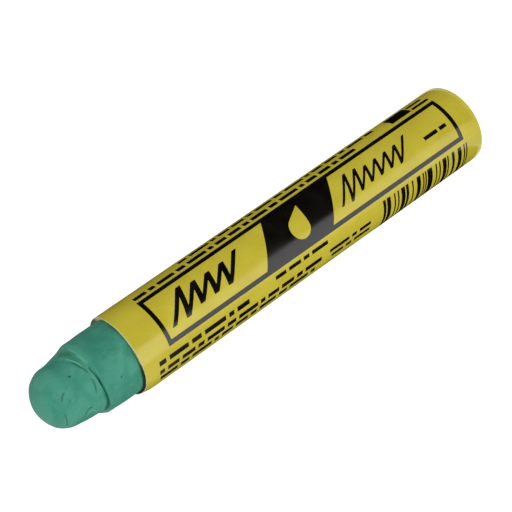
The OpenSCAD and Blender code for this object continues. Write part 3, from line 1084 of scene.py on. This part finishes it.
# %% Lay the floor
def white_ground(tree):
    """1 for rays that show the ground itself: seen directly, mirrored or through glass."""
    path = tree.nodes.new("ShaderNodeLightPath")
    total = path.outputs["Is Camera Ray"]
    for name in ("Is Glossy Ray", "Is Transmission Ray"):
        total = maths(tree, "MAXIMUM", total, path.outputs[name])
    return total


def lay_floor():
    material, tree, shader = plain_material("pale_floor", 0.9, 0.0)
    shader.inputs["Base Color"].default_value = (0.8, 0.8, 0.8, 1)
    shader.inputs["Emission Color"].default_value = (1, 1, 1, 1)
    glow = maths(tree, "MULTIPLY", white_ground(tree), 0.5)
    tree.links.new(glow, shader.inputs["Emission Strength"])
    bm = bmesh.new()
    bmesh.ops.create_circle(bm, cap_ends=True, segments=96, radius=2.0)
    floor = place_in_scene("floor", bm, [material])
    print("floor laid at z =", floor.location.z)


lay_floor()

# %% [markdown]
# ## The world
# An even white sky fills the shadows. Light Path splits it too: the marker is lit by the
# strength given here, while the camera and reflections see plain white.


# %% Set the world
def set_world(strength):
    world = bpy.data.worlds.new("studio")
    bpy.context.scene.world = world
    world.use_nodes = True
    tree = world.node_tree
    background = tree.nodes["Background"]
    background.inputs["Color"].default_value = (1, 1, 1, 1)
    level = tree.nodes.new("ShaderNodeMapRange")
    level.inputs["To Min"].default_value = strength
    level.inputs["To Max"].default_value = 1.0
    tree.links.new(white_ground(tree), level.inputs["Value"])
    tree.links.new(level.outputs["Result"], background.inputs["Strength"])
    print("world lights the marker with", strength)


set_world(0.66)

# %% [markdown]
# ## Soft light
# One broad lamp stands in front, a little to the right and above, as a softbox does. A weak
# one at the side keeps the shaded edge of the sleeve from going flat. Both are much larger
# than the marker, so its shadows and shading stay soft.


# %% Place the lamps
def place_lamp(name, where, aim, size, power):
    lamp = bpy.data.lights.new(name, "AREA")
    lamp.shape = "RECTANGLE"
    lamp.size = lamp.size_y = size
    lamp.energy = power
    thing = bpy.data.objects.new(name, lamp)
    thing.location = where
    thing.rotation_mode = "QUATERNION"
    thing.rotation_quaternion = (Vector(aim) - Vector(where)).to_track_quat("-Z", "Y")
    thing.visible_camera = False
    bpy.context.scene.collection.objects.link(thing)
    print("lamp", name, "of", power, "W")


place_lamp("softbox", side(28) * 0.68 + Vector((0, 0, 0.56)), (0, 0, 0.06), 0.6, 3.7)
place_lamp("side_fill", side(112) * 0.8 + Vector((0, 0, 0.3)), (0, 0, 0.05), 0.5, 0.6)

# %% [markdown]
# ## Cards for the reflections
# A standing cylinder mirrors the floor to a camera that looks down on it. So cards lie on
# the floor and show in reflections only: bright ones give the soft sheen along the label,
# a dark one all round gives the black print its depth, and two at the sides lighten the
# edges. Their glow is low, because a strong one would burn out the grazing edges.


# %% Lay the cards
def lay_card(name, first, last, near, far, glow, height=0.8 * MM):
    """A flat fan just above the floor, between two turns and two distances from the axis."""
    bm = bmesh.new()
    lift = Vector((0, 0, height))
    start = bm.verts.new(side(first) * near + lift)
    end = bmesh.ops.extrude_vert_indiv(bm, verts=[start])["verts"][0]
    end.co = side(first) * far + lift
    bmesh.ops.spin(bm, geom=bm.verts[:] + bm.edges[:], cent=(0, 0, 0), axis=(0, 0, 1),
                   angle=math.radians(first - last), steps=48, use_merge=False)
    material, tree, shader = plain_material(name + "_face", 0.5, 0.0)
    shader.inputs["Base Color"].default_value = (0, 0, 0, 1)
    shader.inputs["Emission Color"].default_value = (0.97, 0.97, 1, 1)
    shader.inputs["Emission Strength"].default_value = glow
    card = place_in_scene(name, bm, [material])
    card.visible_camera = card.visible_diffuse = card.visible_shadow = False
    print("laid", name, "from", near, "to", far, "m with glow", glow)


lay_card("sheen_card", 23, 66, 0.013, 0.168, 2.1)
lay_card("far_sheen_card", 23, 66, 0.168, 0.205, 4.0)
lay_card("shade_card", 67, 382, 0.0089, 1.2, 0.0)
lay_card("right_card", 76, 124, 0.176, 0.5, 1.3, 1.2 * MM)
lay_card("left_card", 210, 245, 0.185, 0.5, 0.3, 1.2 * MM)

# %% [markdown]
# ## The camera
# The photograph was taken with a long lens from above the marker's side. The camera's
# place and its three axes were found by matching the ends and edges of the marker, and
# are written here in the marker's own frame. Half a pixel is added, because that fit
# counted from the middles of pixels and the camera counts from their corners.

# %% Set the camera
eye = Vector((-74.246, -443.677, 355.786)) * MM
look = Vector((0.1389357, 0.8236672, -0.5497902)).normalized()
up = Vector((0.7567786, -0.4463906, -0.4775161))
right = look.cross(up).normalized()
lens_in_pixels = 2682.9
half_pixel = 0.5 / lens_in_pixels
look = (look + half_pixel * (up - right)).normalized()
right = look.cross(up).normalized()
up = right.cross(look).normalized()
lens = bpy.data.cameras.new("camera")
lens.sensor_width = 36
lens.lens = 188.64
camera = bpy.data.objects.new("camera", lens)
axes = Matrix((right, up, -look)).transposed()
camera.matrix_world = Matrix.Translation(eye) @ axes.to_4x4()
bpy.context.scene.collection.objects.link(camera)
bpy.context.scene.camera = camera
bpy.context.scene.view_settings.view_transform = "Standard"
print("camera looks down", round(math.degrees(math.asin(-look.z)), 2), "degrees")
